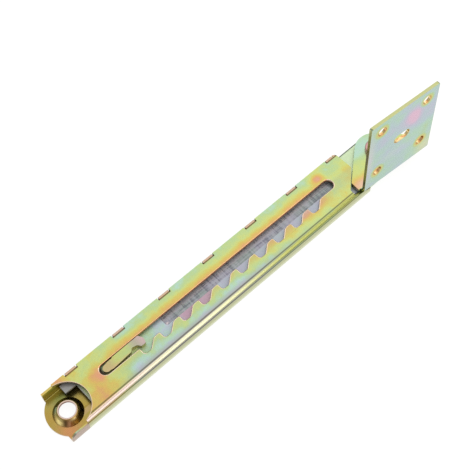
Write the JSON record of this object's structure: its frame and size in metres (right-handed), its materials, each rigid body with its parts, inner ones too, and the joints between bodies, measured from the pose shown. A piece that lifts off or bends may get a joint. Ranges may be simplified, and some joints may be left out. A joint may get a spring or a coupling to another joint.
{
  "type": "sofa headrest ratchet hinge",
  "caption": "Telescoping ratchet hinge for a folding headrest: slotted, toothed steel casing with a pivot eye, inner slide with sprung pawl, and a swivelling screw-on bracket.",
  "frame": {"origin": "the middle of the pivot eye's bore, 4.7 mm above the casing's flat back", "axes": "+X runs along the casing from the eye to the bracket, +Z points out of the toothed face along the eye's axis, and the bracket's mounting plate stands on the -Y side"},
  "size_m": [0.3091, 0.0395, 0.078],
  "materials": {
    "casing_zinc": "yellow iridescent zinc plating",
    "slide_zinc": "yellow iridescent zinc plating, rubbed along its length",
    "pawl_zinc": "yellow iridescent zinc plating",
    "bracket_zinc": "yellow iridescent zinc plating",
    "rivet_zinc": "yellow iridescent zinc plating",
    "spring_steel": "bare spring steel"
  },
  "bodies": {
    "casing": {"casing": "casing_zinc"},
    "slide": {"slide": "slide_zinc", "pawl_washer": "rivet_zinc", "pawl_spring": "spring_steel", "bracket_spacer": "rivet_zinc", "bracket_rivet": "rivet_zinc"},
    "pawl": {"pawl": "pawl_zinc"},
    "bracket": {"bracket": "bracket_zinc"}
  },
  "joints": [
    {"name": "slide_extend", "type": "slide", "parent": "casing", "child": "slide", "axis": [1, 0, 0], "range_m": [0, 0.144]},
    {"name": "pawl_pivot", "type": "hinge", "parent": "slide", "child": "pawl", "pos_m": [0.0332, 0.00205, 0.0021], "axis": [0, 0, 1], "range_deg": [-4.3, 0]},
    {"name": "bracket_swivel", "type": "hinge", "parent": "slide", "child": "bracket", "pos_m": [0.2656, 0, 0.00555], "axis": [0, 0, 1], "range_deg": [0, 140]}
  ]
}
